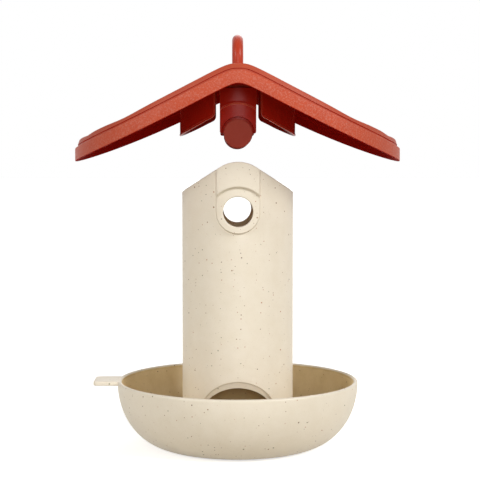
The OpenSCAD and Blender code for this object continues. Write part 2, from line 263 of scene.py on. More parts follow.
def bell(d, width):
    """A bell curve of height 1 about d = 0: e to the power of -(d / width)^2."""
    return np.exp(-(d / width) ** 2)


def roof_edge(x):
    """The skirt's lower edge: a hyperbola rounds the ridge, a parabola lifts the tips."""
    return (RIDGE_Z + ROOF_SLOPE * (RIDGE_ROUND - np.sqrt(x * x + RIDGE_ROUND ** 2))
            + ROOF_FLARE * x * x)


def roof_height(x, h):
    """Height of a surface that lies h above the skirt's lower edge, square to the slope: the
    upright distance is h sqrt(1 + slope^2)."""
    slope = ROOF_SLOPE * x / np.sqrt(x * x + RIDGE_ROUND ** 2) - 2 * ROOF_FLARE * x
    return roof_edge(x) + h * np.sqrt(1 + slope * slope)


def gable(x):
    """Height of the tube's top edge: a circle over the middle and straight slopes beside it."""
    reach = GABLE_R * math.sin(GABLE_ANGLE)
    middle = GABLE_CREST - GABLE_R
    bow = middle + np.sqrt(np.maximum(GABLE_R ** 2 - x * x, 0))
    slope = middle + GABLE_R * math.cos(GABLE_ANGLE) - (np.abs(x) - reach) * math.tan(GABLE_ANGLE)
    return np.where(np.abs(x) < reach, bow, slope)


def softened(corners, radii, steps=5):
    """Path whose inner corners become parabolas that touch both sides; radius 0 keeps a point."""
    path = np.asarray(corners, float)
    k = np.linspace(0, 1, steps + 1)[:, None]
    parts = [path[:1]]
    for before, here, after, radius in zip(path[:-2], path[1:-1], path[2:], radii):
        u, v = before - here, after - here
        long_u, long_v = np.hypot(*u), np.hypot(*v)
        half = math.acos(np.clip(u @ v / long_u / long_v, -1, 1)) / 2
        reach = min(radius / math.tan(half), 0.48 * long_u, 0.48 * long_v)
        a, b = here + u / long_u * reach, here + v / long_v * reach
        bend = (1 - k) ** 2 * a + 2 * k * (1 - k) * here + k ** 2 * b
        parts.append(bend if radius else here[None])
    return np.concatenate(parts + [path[-1:]])


def circle_path(centre, radius, start, end, count):
    """Points on a circle from one angle to another, anticlockwise when end is above start."""
    a = np.linspace(start, end, count)
    return stacked(centre[0] + radius * np.cos(a), centre[1] + radius * np.sin(a))


def arc_over(height, radius, half, count):
    """The arc over the point (0, height) that spans x = -half to x = half."""
    spread = math.asin(half / radius)
    return circle_path((0, height), radius, UPRIGHT + spread, UPRIGHT - spread, count)


def mirrored(path):
    """The path's mirror image across x = 0, run the other way."""
    return path[::-1] * [-1, 1]


def drawn_angles(count, pull, more=0.0):
    """Angles k + pull sin 2k - more sin 4k round a ring: closest at +-90 degrees, where the
    divider's and the roof's ridges end."""
    k = np.arange(count) / count * TURN
    return k + pull * np.sin(2 * k) - more * np.sin(4 * k)


def welded(points, faces):
    """Makes points that coincide one, drops faces that lose a side, and turns the shell to look
    outward: its volume, summed as p . (q x r), is then positive."""
    keys = np.round((points + WELD / 3) / WELD).astype(np.int64)
    _, first, back = np.unique(keys, axis=0, return_index=True, return_inverse=True)
    points, faces = points[first], back.reshape(-1)[faces]
    a, b, c = faces.T
    faces = faces[(a != b) & (b != c) & (c != a)]
    p, q, r = points[faces].transpose(1, 0, 2)
    if np.einsum("ij,ij->", p, np.cross(q, r)) < 0:
        faces = faces[:, ::-1]
    return points, faces


def lofted(points):
    """A shell through rows of points, each of which closes on itself: two triangles to a cell."""
    rows, cols = points.shape[:2]
    i, j = np.meshgrid(np.arange(rows - 1), np.arange(cols), indexing="ij")
    right = (j + 1) % cols
    a, b, c, d = i * cols + j, i * cols + right, (i + 1) * cols + right, (i + 1) * cols + j
    faces = [stacked(a, b, c).reshape(-1, 3), stacked(a, c, d).reshape(-1, 3)]
    return welded(points.reshape(-1, 3), np.concatenate(faces))


def closed_loft(points, middles):
    """The same, with the first and the last row each drawn together in its middle point."""
    ends = middles + 0 * points[[0, -1]]
    return lofted(np.concatenate([ends[:1], points, ends[1:]]))


def turned(path, count, place=lambda *point: point):
    """Profile of (radius, height) carried round an axis, which place(x, y, height) sets."""
    a = np.linspace(0, TURN, count, endpoint=False)
    radius, height = path[:, :1], path[:, 1:]
    return lofted(stacked(*place(radius * np.sin(a), -radius * np.cos(a), height)))


def joined(*shells):
    """Several closed shells as one set of points and faces."""
    points, faces, count = [], [], 0
    for shell_points, shell_faces in shells:
        points.append(shell_points)
        faces.append(shell_faces + count)
        count += len(shell_points)
    return np.concatenate(points), np.concatenate(faces)


def half_turned(shell):
    """The same shell at the back: turned by half a turn about the Z axis."""
    return shell[0] * [-1, -1, 1], shell[1]


def offset(path, distance, closed):
    """Moves each point of a path to its left by a distance, square to its neighbours' run."""
    run = np.roll(path, -1, 0) - np.roll(path, 1, 0) if closed else np.gradient(path, axis=0)
    run /= np.maximum(np.hypot(run[:, 0], run[:, 1]), 1e-9)[:, None]
    return path + distance * stacked(-run[:, 1], run[:, 0])


def gap_to(points, paths):
    """Distance from each point to the nearest side of the paths, given with their closed flags:
    the foot of each side is a + k (b - a) with k held between 0 and 1."""
    best = np.full(len(points), np.inf)
    for path, closed in paths:
        a = path if closed else path[:-1]
        b = np.roll(path, -1, 0) if closed else path[1:]
        side = b - a
        span = np.maximum((side ** 2).sum(1), 1e-12)
        k = np.clip(((points[:, None] - a) * side).sum(2) / span, 0, 1)
        foot = a + k[..., None] * side
        best = np.minimum(best, np.sqrt(((points[:, None] - foot) ** 2).sum(2)).min(1))
    return best


def inside(points, loops):
    """True where a line to the right of the point crosses the loops an odd number of times."""
    x, y = points[:, :1], points[:, 1:]
    crossings = np.zeros(len(points), int)
    for loop in loops:
        a, b = loop, np.roll(loop, -1, 0)
        level = (a[:, 1] > y) != (b[:, 1] > y)
        rise = np.where(b[:, 1] == a[:, 1], 1, b[:, 1] - a[:, 1])
        crossings += (level & (x < a[:, 0] + (y - a[:, 1]) * (b[:, 0] - a[:, 0]) / rise)).sum(1)
    return crossings % 2 == 1


def plate(loops, lips, folds, spacing, lip, outer, inner, open_side=None):
    """A moulded wall with two faces and rounded lips, drawn flat and then wrapped.

    Flat points (u, v) fill the loops. Rows of them follow each lip and each fold, so that the
    triangles bend there. outer(u, v, drop) and inner(u, v, drop) wrap the two faces, where drop
    sinks a quarter circle of radius lip next to the lipped edges: lip - sqrt(lip^2 - (lip - d)^2)
    at distance d from the edge. A wall joins the faces along every edge but the open side.
    """
    rows = [(loop, True) for loop in loops]
    rows += [(offset(path, lip * (1 - math.cos(a)), closed), closed)
             for path, closed in lips for a in quarter_turn(6)[1:]]
    rows += [(offset(path, d, closed), closed) for path, closed, shifts in folds for d in shifts]
    flat, sides, count = [], [], 0
    for path, closed in rows:
        i = count + np.arange(len(path))
        sides.append(stacked(i, np.roll(i, -1))[:None if closed else -1])
        flat.append(path)
        count += len(path)
    low, high = loops[0].min(0), loops[0].max(0)
    cells = [max(2, round((b - a) / s)) + 1 for a, b, s in zip(low, high, spacing)]
    fill = np.meshgrid(*[np.linspace(a, b, n) for a, b, n in zip(low, high, cells)])
    fill = stacked(*fill).reshape(-1, 2)
    fill = fill[inside(fill, loops)]
    near = 0.45 * min(spacing)
    fill = fill[gap_to(fill, [(loop, True) for loop in loops]) > near]
    fill = fill[gap_to(fill, lips) > lip + near]
    for path, closed, shifts in folds:
        fill = fill[gap_to(fill, [(path, closed)]) > max(abs(shifts[0]), abs(shifts[-1])) + near]
    flat = np.concatenate(flat + [fill])
    made = delaunay_2d_cdt([Vector(p) for p in flat], np.concatenate(sides).tolist(), [], 0, 1e-4)
    flat = np.array([tuple(p) for p in made[0]])
    faces = np.array([tuple(f) for f in made[2]])
    faces = faces[inside(flat[faces].mean(1), loops)]
    used, faces = np.unique(faces, return_inverse=True)
    flat, faces = flat[used], faces.reshape(-1, 3)
    u, v = flat.T
    inset = np.clip(lip - gap_to(flat, lips), 0, lip)
    drop = lip - np.sqrt(lip ** 2 - inset ** 2)
    edges = np.concatenate([faces[:, [0, 1]], faces[:, [1, 2]], faces[:, [2, 0]]])
    _, first, times = np.unique(np.sort(edges, 1), axis=0, return_index=True, return_counts=True)
    rim = edges[first[times == 1]]
    if open_side is not None:
        rim = rim[~((np.abs(u[rim]) > open_side).all(1))]
    a, b = rim.T
    n = len(flat)
    walls = np.concatenate([stacked(a, a + n, b), stacked(b, a + n, b + n)])
    points = np.concatenate([outer(u, v, drop), inner(u, v, drop)])
    return points, np.concatenate([faces, faces[:, ::-1] + n, walls])


def wrapped(angle, height, radius, keep, straight):
    """Point at an angle from the front. Up to the first x of straight it keeps the x that the
    angle has at radius keep, so steps and holes run straight back; past the second it is polar."""
    near, far = straight
    x = keep * np.sin(angle)
    share = level_step(np.abs(x) - (near + far) / 2, far - near)
    x = x + share * (radius - keep) * np.sin(angle)
    y = -np.sign(np.cos(angle)) * np.sqrt(np.maximum(radius * radius - x * x, 0))
    return stacked(x, y, height)


def outward(look, middle):
    """How far faces look away from the object's axis: 1 straight out and -1 straight in."""
    return (look * middle)[:, :2].sum(1) / np.maximum(np.hypot(middle[:, 0], middle[:, 1]), 1e-9)


def on_edge(look, middle):
    """True for faces on the rounded edges of a wall that stands round the axis; the latches and
    blades paint a highlight on these.
    """
    return (outward(look, middle) > 0.15) & (outward(look, middle) < 0.9)


def placed(name, data):
    """An object at the origin of the scene, with that data."""
    item = bpy.data.objects.new(name, data)
    bpy.context.scene.collection.objects.link(item)
    return item


def meshed(name, points, faces):
    """The same with a mesh, whose points are given in mm."""
    mesh = bpy.data.meshes.new(name)
    mesh.from_pydata(points * MM, [], faces)
    return placed(name, mesh)


def make_piece(name, shell, body, replaced, finishes, choose=None):
    """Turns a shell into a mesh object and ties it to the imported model. choose(look, middle)
    gives each face the number of its finish, from the way it looks and its middle in mm."""
    points, faces = shell
    piece = meshed(name, points, faces)
    mesh = piece.data
    mesh.polygons.foreach_set("use_smooth", np.ones(len(faces), bool))
    mesh.set_sharp_from_angle(angle=CREASE)
    for kind in finishes:
        mesh.materials.append(finish_of(kind))
    mesh.update()
    if choose:
        p, q, r = points[faces].transpose(1, 0, 2)
        look = np.cross(q - p, r - p)
        look /= np.maximum(np.linalg.norm(look, axis=1), 1e-9)[:, None]
        number = choose(look, (p + q + r) / 3)
        mesh.polygons.foreach_set("material_index", number.astype(np.int32))
    if mesh.validate():
        raise RuntimeError(f"{name} has faces that Blender had to mend")
    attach(piece, body)
    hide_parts(replaced)
    return piece


def make_pair(name, front, replaced, finishes, choose=None):
    """The same piece on the front latch and, half a turn round, on the back latch."""
    for side, shell in (("front_", front), ("back_", half_turned(front))):
        make_piece(side + name, shell, side + "snap", side + replaced, finishes, choose)


def node(tree, kind, inputs=(), **settings):
    """Adds a shader node to a tree, sets its properties, and fills or links its inputs. A node
    that is given for an input stands for its first output."""
    made = tree.nodes.new("ShaderNode" + kind)
    for key, value in settings.items():
        setattr(made, key, value)
    for key, value in dict(inputs).items():
        if isinstance(value, bpy.types.Node):
            value = value.outputs[0]
        if isinstance(value, bpy.types.NodeSocket):
            tree.links.new(value, made.inputs[key])
        else:
            made.inputs[key].default_value = value
    return made


def new_material(name):
    """An empty material and its tree."""
    material = bpy.data.materials.new(name)
    material.use_nodes = True
    material.node_tree.nodes.clear()
    return material, material.node_tree


def per_mm(size):
    """Texture scale at which a pattern repeats about once in a size in mm."""
    return 1 / (size * MM)


def skinned(tree, paint, coats, roughness, shine, height, strength, depth):
    """Ends a tree with a paint, coats of (share, colour) on it, and a skin that rises and falls
    by a depth in mm."""
    for share, tint in coats:
        paint = node(tree, "Mix", {0: share, 6: paint, 7: tint}, data_type="RGBA").outputs[2]
    bump = node(tree, "Bump", {"Height": height, "Strength": strength, "Distance": depth * MM})
    shader = node(tree, "BsdfPrincipled", {"Base Color": paint, "Roughness": roughness,
                                           "Specular IOR Level": shine, "Normal": bump})
    node(tree, "OutputMaterial", {"Surface": shader})


def fibre_composite(name, cream, cream_deep):
    """Plant-fibre filled polypropylene, injection moulded.

    The eye sees a warm cream that is slightly cloudy, with scattered brown, rust and olive flecks
    of fibre, and a dull skin that catches only soft, broad light.
    """
    material, tree = new_material(name)
    place = node(tree, "TexCoord").outputs["Object"]
    cloud = node(tree, "TexNoise", {"Vector": place, "Scale": per_mm(11), "Detail": 4.0,
                                    "Roughness": 0.6})
    tone = node(tree, "MapRange", {"Value": cloud, "From Min": 0.3, "From Max": 0.7})
    grain = node(tree, "TexNoise", {"Vector": place, "Scale": per_mm(1.1), "Detail": 2.0})
    dust = node(tree, "MapRange", {"Value": grain, "From Min": 0.62, "From Max": 0.78,
                                   "To Max": 0.16})
    coats = [(tone, cream_deep), (dust, linear(DUST))]
    for cell, size, share in FLECKS:
        flecks = node(tree, "TexVoronoi", {"Vector": place, "Scale": per_mm(cell)})
        random = node(tree, "SeparateColor", {"Color": flecks.outputs["Color"]}).outputs
        reach = node(tree, "MapRange", {"Value": random["Red"], "To Min": 0.5 * size / cell,
                                        "To Max": 1.5 * size / cell})
        depth = node(tree, "Math", {0: reach, 1: flecks}, operation="SUBTRACT")
        # An edge that is a sixth of a mm soft
        edge = node(tree, "Math", {0: depth, 1: 6 * cell}, operation="MULTIPLY", use_clamp=True)
        chosen = node(tree, "Math", {0: random["Green"], 1: share}, operation="LESS_THAN")
        mask = node(tree, "Math", {0: edge, 1: chosen}, operation="MULTIPLY")
        hue = node(tree, "ValToRGB", {"Fac": random["Blue"]})
        ramp = hue.color_ramp
        ramp.interpolation = "CONSTANT"
        for stop, shade in FLECK_HUES:
            mark = ramp.elements.new(stop) if stop else ramp.elements[0]
            mark.color = linear(shade)
        ramp.elements.remove(ramp.elements[-1])
        coats.append((mask, hue))
    skin = node(tree, "TexNoise", {"Vector": place, "Scale": per_mm(0.9), "Detail": 3.0})
    skinned(tree, cream, coats, 0.47, 0.6, skin, 0.12, 0.2)
    return material


def moulded_plastic(name, colour, deep, roughness, shine, grain_size, grain_depth, mottle,
                    crest_sheen=0.0, shaded_tips=False):
    """Coloured polypropylene from a steel mould.

    The eye sees a colour that is cloudy by a few percent, and a fine spark-eroded grain whose
    gloss comes and goes. The crest sheen is a painted sheen: how far the crests of the grain are
    painted pale, for the soft highlights that a blasted grain catches. Shaded tips get painted
    shade: a browner tone that comes in from 75 mm off the middle, where the roof's tips turn away
    from the light.
    """
    material, tree = new_material(name)
    place = node(tree, "TexCoord").outputs["Object"]
    cloud = node(tree, "TexNoise", {"Vector": place, "Scale": per_mm(14), "Detail": 3.0})
    fine = node(tree, "TexNoise", {"Vector": place, "Scale": per_mm(grain_size), "Detail": 3.0,
                                   "Roughness": 0.65})
    both = node(tree, "Mix", {0: 0.6, 2: cloud, 3: fine})
    tone = node(tree, "MapRange", {"Value": both, "From Min": 0.35, "From Max": 0.65,
                                   "To Max": mottle})
    coats = [(tone, deep)]
    if crest_sheen:
        # Painted sheen on the grain's crests
        crest = node(tree, "MapRange", {"Value": fine, "From Min": 0.46, "From Max": 0.66,
                                        "To Max": crest_sheen})
        coats.append((crest, linear(CREST_SHEEN)))
    # Painted shade towards the tips
    if shaded_tips:
        spot = node(tree, "SeparateXYZ", {"Vector": place})
        aside = node(tree, "Math", {0: spot}, operation="ABSOLUTE")
        tip = node(tree, "MapRange", {"Value": aside, "From Min": TIP_SHADE_FROM * MM,
                                      "From Max": ROOF_A * MM, "To Max": TIP_SHADE_SHARE})
        coats.append((tip, linear(TIP_SHADE)))
    gloss = node(tree, "MapRange", {"Value": fine, "From Min": 0.3, "From Max": 0.7,
                                    "To Min": roughness - 0.05, "To Max": roughness + 0.05})
    skinned(tree, colour, coats, gloss, shine, fine, 1.0, grain_depth)
    return material


def finish_of(kind):
    """The finish of that kind, made on first use."""
    finish = bpy.context.scene.feeder_finish
    recipe = {**COMPOSITES, **PLASTICS}[kind]
    colours = [list(getattr(finish, name)) for name in recipe[:2]]
    maker = fibre_composite if kind in COMPOSITES else moulded_plastic
    return bpy.data.materials.get(kind) or maker(kind, *colours, *recipe[2:])


def tint(name, description, code):
    """A colour that a user may change, given as an sRGB hex value."""
    return FloatVectorProperty(name=name, description=description, default=linear(code), size=4,
                               subtype="COLOR", min=0.0, max=1.0)


def length(name, description, size):
    """A length that a user may change, given in mm and kept in metres."""
    return FloatProperty(name=name, description=description, default=size * MM, min=0.05 * MM,
                         unit="LENGTH")


class FEEDER_PG_finish(bpy.types.PropertyGroup):
    """Colours of the mouldings."""
    cream: tint("Cream", "Main colour of the tray and the silo", "#e5dccb")
    cream_deep: tint("Deep cream", "Colour of its cloudy patches", "#e1d7c4")
    # Painted shade: these colours inside the bowl and the tube stand in for the shade and warm
    # bounce light that fall there
    stain: tint("Stain", "Main colour inside the bowl and the tube", "#e3cda0")
    stain_deep: tint("Deep stain", "Colour of the patches inside", "#d8c090")
    brick: tint("Brick", "Main colour of the roof", "#c34e2d")
    brick_deep: tint("Deep brick", "Colour of the roof's grain", "#b03d20")
    latch: tint("Latch", "Main colour of the latches", "#b02212")
    latch_deep: tint("Deep latch", "Colour of the latches' clouds", "#a21a0c")
    # Painted highlight on the rounded edges of the latches and blades
    rubbed: tint("Rubbed edge", "Colour of the latches' and blades' edges", "#dc6a50")
    # Painted shade on the step's riser
    riser: tint("Riser", "Main colour of the step's riser", "#b74e32")
    riser_deep: tint("Deep riser", "Colour of the riser's grain", "#a84029")
    # Painted shade: the underside's darker, deeper red
    lining: tint("Lining", "Main colour of the roof's underside", "#a81408")
    lining_deep: tint("Deep lining", "Colour of the underside's clouds", "#9a1006")
    button: tint("Button", "Main colour of the buttons", "#a83a26")
    button_deep: tint("Deep button", "Colour of the buttons' clouds", "#9e3220")


class FEEDER_PG_sizes(bpy.types.PropertyGroup):
    """Small roundings of the mouldings."""
    rim_bead: length("Rim bead", "Thickness of the tray's rounded rim", 3.4)
    silo_lip: length("Silo lip", "Rounding of the tube's edges and of its hole", 0.85)
    roof_edge: length("Roof edge", "Rounding of the top edge of the step", 0.9)
    blade_lip: length("Blade lip", "Rounding of the collar's edges", 0.5)
    latch_lip: length("Latch lip", "Rounding of the latches' edges", 0.7)
    button_edge: length("Button edge", "Rounding of the buttons' faces", 0.7)


class FEEDER_OT_seed_tray(bpy.types.Operator):
    """Makes the bowl, its thumb tab and its lock ring"""
    bl_idname = "feeder.seed_tray"
    bl_label = "Seed tray"

    def execute(self, context):
        """The bowl is a profile of (radius, height) turned about Z. Its two walls are quarter
        ellipses, radius = base + reach sin a and height = rim - depth cos a, and the rim between
        them is part of a circle that leans inward."""
        bead = context.scene.feeder_sizes.rim_bead / MM / 2
        rim = TRAY_H - bead
        rise = quarter_turn(56)
        outside = stacked(BASE_R + (TRAY_R - BASE_R) * np.sin(rise), rim - rim * np.cos(rise))
        back = rise[-2::-1]
        within = stacked(BASE_R + (TRAY_R - TRAY_WALL - BASE_R) * np.sin(back),
                         rim - (rim - TRAY_FLOOR) * np.cos(back))
        lip = circle_path((TRAY_R - bead, rim), bead, 0, 2.5 * UPRIGHT, 22)[1:]
        within = within[within[:, 1] < lip[-1, 1] - 0.3]
        path = np.concatenate([[[0, 0], [BASE_R / 2, 0]], outside, lip, within,
                               [[BASE_R / 2, TRAY_FLOOR], [0, TRAY_FLOOR]]])
        parts = (("tray_bowl", turned(path, 240)), ("thumb_tab", self.tab()),
                 ("lock_ring", self.lock_ring()))
        for name, shell in parts:
            bowl = name == "tray_bowl"
            # The bowl's inside takes the painted shade
            piece = make_piece(name, shell, "tray", "seed_tray",
                               list(COMPOSITES) if bowl else ["moulded_fibre_composite"],
                               self.stained if bowl else None)
            if bowl:
                self.drill(piece)
        return {"FINISHED"}

    def stained(self, look, middle):
        """True for the bowl's inside, up to just below the rim, which takes the painted shade."""
        within = (look[:, 2] > 0.5) | (outward(look, middle) < -0.1)
        return within & (middle[:, 2] < TRAY_H - SHADE_STOP)

    def drill(self, piece):
        """Takes the drain holes out of the bowl: a ring of upright round bars is subtracted."""
        points, faces = turned(np.array([[0, -5], [DRAIN_R, -5], [DRAIN_R, 15], [0, 15.0]]), 24)
        turns = (np.arange(DRAINS) + 0.5) * TURN / DRAINS
        bars = [(points + [DRAIN_RING * math.cos(a), DRAIN_RING * math.sin(a), 0], faces)
                for a in turns]
        cutter = meshed("drain_bars", *joined(*bars))
        cut = piece.modifiers.new("drains", "BOOLEAN")
        cut.operation, cut.solver, cut.object = "DIFFERENCE", "EXACT", cutter
        graph = bpy.context.evaluated_depsgraph_get()
        drilled = bpy.data.meshes.new_from_object(piece.evaluated_get(graph))
        piece.modifiers.clear()
        piece.data = drilled
        drilled.set_sharp_from_angle(angle=CREASE)
        bpy.data.objects.remove(cutter)

    def tab(self):
        """A flat plate in x and y, with rounded outer corners and both of its faces level."""
        corners = [(-TAB_IN, 0), (-TAB_IN, TAB_HALF), (-TAB_OUT, TAB_HALF),
                   (-TAB_OUT, -TAB_HALF), (-TAB_IN, -TAB_HALF), (-TAB_IN, 0)]
        path = softened(corners, [0.6, TAB_CORNER, TAB_CORNER, 0.6], 8)[:-1]
        return plate([path], [(path, True)], [], (4, 4), TAB_LIP,
                     lambda u, v, drop: stacked(u, v, TRAY_H - drop),
                     lambda u, v, drop: stacked(u, v, TRAY_H - TAB_T + drop))

    def lock_ring(self):
        """An upright ring drawn flat over half a turn, with an L-shaped slot in its upper edge."""
        near, far, mouth = SLOT_HALF, -TWIST - SLOT_HALF, -TWIST + SLOT_HALF
        low, top = TRAY_FLOOR - 1, RING_TOP
        loop = np.array([(-UPRIGHT, low), (UPRIGHT, low), (UPRIGHT, top), (mouth, top),
                         (mouth, SLOT_HIGH), (near, SLOT_HIGH), (near, SLOT_LOW),
                         (far, SLOT_LOW), (far, top), (-UPRIGHT, top)]) * [RING_OUT, 1]

        def wrap(radius):
            """x = r cos a and y = r sin a, where a is the length along the outside over its r."""
            return lambda u, v, drop: stacked(radius * np.cos(u / RING_OUT),
                                              radius * np.sin(u / RING_OUT), v)
        half = plate([loop], [(loop[2:], False)], [], (2, 3), SHARP, wrap(RING_OUT),
                     wrap(RING_IN), UPRIGHT * RING_OUT - SEAM)
        return welded(*joined(half, half_turned(half)))


class FEEDER_OT_seed_divider(bpy.types.Operator):
    """Makes the ridge-shaped insert that parts the seed towards the two arches"""
    bl_idname = "feeder.seed_divider"
    bl_label = "Seed divider"

    def execute(self, context):
        """Rings of points: x = r sin a, y = -r cos a, and the height falls away from the ridge as
        a hyperbola of y, down to the tray's floor. The rows go over the top, down the wall and
        back underneath."""
        flat, inner = DIVIDER_R - DIVIDER_LIP, DIVIDER_R - DIVIDER_WALL
        lip = quarter_turn(6)
        radius = np.concatenate([np.linspace(0, flat, 14)[:-1], flat + DIVIDER_LIP * np.sin(lip),
                                 [DIVIDER_R, inner], np.linspace(inner, 0, 12)])[:, None]
        sink = np.concatenate([np.zeros(13), DIVIDER_LIP * (1 - np.cos(lip)),
                               [DIVIDER_TOP] * 2, [DIVIDER_SINK] * 12])[:, None]
        a = drawn_angles(120, 0.42)
        fall = np.sqrt((radius * np.cos(a)) ** 2 + DIVIDER_BEND ** 2) - DIVIDER_BEND
        slope = (DIVIDER_TOP - DIVIDER_FOOT) / DIVIDER_R
        height = np.maximum(DIVIDER_TOP - sink - slope * fall, TRAY_FLOOR)
        ridge = lofted(stacked(radius * np.sin(a), -radius * np.cos(a), height))
        # The whole divider takes the painted shade of the bowl's inside
        make_piece("divider_ridge", ridge, "tray", "seed_divider",
                   ["stained_fibre_composite"])
        return {"FINISHED"}


class FEEDER_OT_silo_tube(bpy.types.Operator):
    """Makes the seed tube with its gabled top, latch strips, button holes and feed arches"""
    bl_idname = "feeder.silo_tube"
    bl_label = "Silo tube"

    def execute(self, context):
        """Half of the tube is drawn flat and wrapped, and the other half is that one turned."""
        front = self.front_half(context.scene.feeder_sizes.silo_lip / MM)
        shell = welded(*joined(front, half_turned(front)))
        # The bore's faces take the painted shade
        make_piece("silo_body", shell, "silo", "silo_tube", list(COMPOSITES),
                   lambda look, middle: (outward(look, middle) < -0.3)
                   & (np.hypot(middle[:, 0], middle[:, 1]) < TUBE_IN + 0.2))
        return {"FINISHED"}

    def along(self, path):
        """Turns the x of a path in x and z into length along the tube's outside: r asin(x / r)."""
        path = np.asarray(path, float)
        return stacked(TUBE_R * np.arcsin(np.clip(path[:, 0] / TUBE_R, -1, 1)), path[:, 1])

    def front_half(self, lip):
        """The outline runs along the foot, over the arch and up to the gable. Rows of points
        follow the strip and its ledge outside, the pocket and its shelf inside, and the hole,
        and reach just past each step."""
        side = TUBE_R * UPRIGHT
        fine = np.linspace(-18.9, 18.9, 76)
        u = np.unique(np.concatenate([np.linspace(-side, side, 73), fine]))
        crest = stacked(u, gable(TUBE_R * np.sin(u / TUBE_R)))[::-1]
        leg = stacked(ARCH_R, np.linspace(ARCH_Z, TUBE_FOOT, 9)[1:])
        bow = circle_path((0, ARCH_Z), ARCH_R, math.pi, 0, 61)
        arch = self.along(np.concatenate([mirrored(leg), bow, leg]))
        right = stacked(side, np.linspace(TUBE_FOOT, crest[0, 1], 46)[1:-1])
        outline = np.concatenate([[[-side, TUBE_FOOT]], arch, [[side, TUBE_FOOT]], right, crest,
                                  mirrored(right)])
        top = GABLE_CREST + 2
        edge = stacked(STRIP_HALF, np.linspace(HOLE_Z, top, 16)[1:])
        below = circle_path((0, HOLE_Z), STRIP_HALF, math.pi, TURN, 49)
        strip = np.concatenate([mirrored(edge), below, edge])
        ledge = arc_over(HOLE_Z - LEDGE_DROP, LEDGE_R, STRIP_HALF + 1, 45)
        pocket = [(-POCKET_HALF, top), (-POCKET_HALF, HOLE_Z), (POCKET_HALF, HOLE_Z),
                  (POCKET_HALF, top)]
        shelf = arc_over(HOLE_Z, POCKET_ARC, POCKET_HALF, 25)
        hole, ring = [self.along(circle_path((0, HOLE_Z), radius, TURN, 0, count)[:-1])
                      for radius, count in ((HOLE_R, 97), (HOLE_RING, 65))]
        sharp = POCKET_BLEND / 2 * np.arange(-1, 2)
        folds = [(self.along(path), False, shifts) for path, shifts in (
            (strip, np.linspace(-0.95, 0.65, 9)), (ledge, np.linspace(-1.5, 1.5, 11)),
            (pocket, sharp), (shelf, sharp))]
        folds.append((ring, True, [0]))
        return plate([outline, hole], [(crest, False), (arch, False), (hole, True)], folds,
                     (2.5, 5), lip, self.outer_face, self.inner_face, side - SEAM)

    def outer_face(self, u, z, drop):
        """The tube's radius, plus a level step across the strip's outline and one across the
        ledge: the distance to the outline is taken from its sides above the hole and from a
        circle below."""
        angle = u / TUBE_R
        x = TUBE_R * np.sin(angle)
        edge = STRIP_HALF - np.where(z > HOLE_Z, np.abs(x), np.hypot(x, z - HOLE_Z))
        strip = level_step(edge - STRIP_SHIFT, STRIP_BLEND)
        over = np.hypot(x, z - HOLE_Z + LEDGE_DROP) - LEDGE_R
        upper = level_step(over, LEDGE_BLEND) * (z > HOLE_Z)
        radius = TUBE_R + strip * (RING_STEP + (STRIP_OUT - RING_STEP) * upper)
        return wrapped(angle, z, radius - drop, TUBE_R, TUBE_STRAIGHT)

    def inner_face(self, u, z, drop):
        """The bore, with level steps into the latch's recess and pocket. Near the gable its
        points shift upright with the gable at their own x, and round the arch they sink, because
        the cut of the arch slopes down inward."""
        angle = u / TUBE_R
        x = TUBE_R * np.sin(angle)
        recess = (level_step(POCKET_HALF - np.abs(x), POCKET_BLEND)
                  * level_step(z - HOLE_Z, POCKET_BLEND))
        pocket = level_step(np.hypot(x, z - HOLE_Z) - POCKET_ARC, POCKET_BLEND)
        radius = TUBE_IN + recess * (RECESS_R - TUBE_IN + (POCKET_R - RECESS_R) * pocket)
        place = wrapped(angle, z, radius + drop, TUBE_R, TUBE_STRAIGHT)
        top = gable(x)
        near_top = level_step(z - top + GABLE_SHIFT, 2 * GABLE_SHIFT)
        beyond = np.where(z > ARCH_Z, np.hypot(x, z - ARCH_Z), np.abs(x)) - ARCH_R
        near_arch = (1 - level_step(beyond - ARCH_SHIFT / 2, ARCH_SHIFT)) * np.clip(
            (z - TUBE_FOOT) / (ARCH_Z - TUBE_FOOT), 0, 1)
        place[:, 2] += near_top * (gable(place[:, 0]) - top) - ARCH_RISE * near_arch
        return place


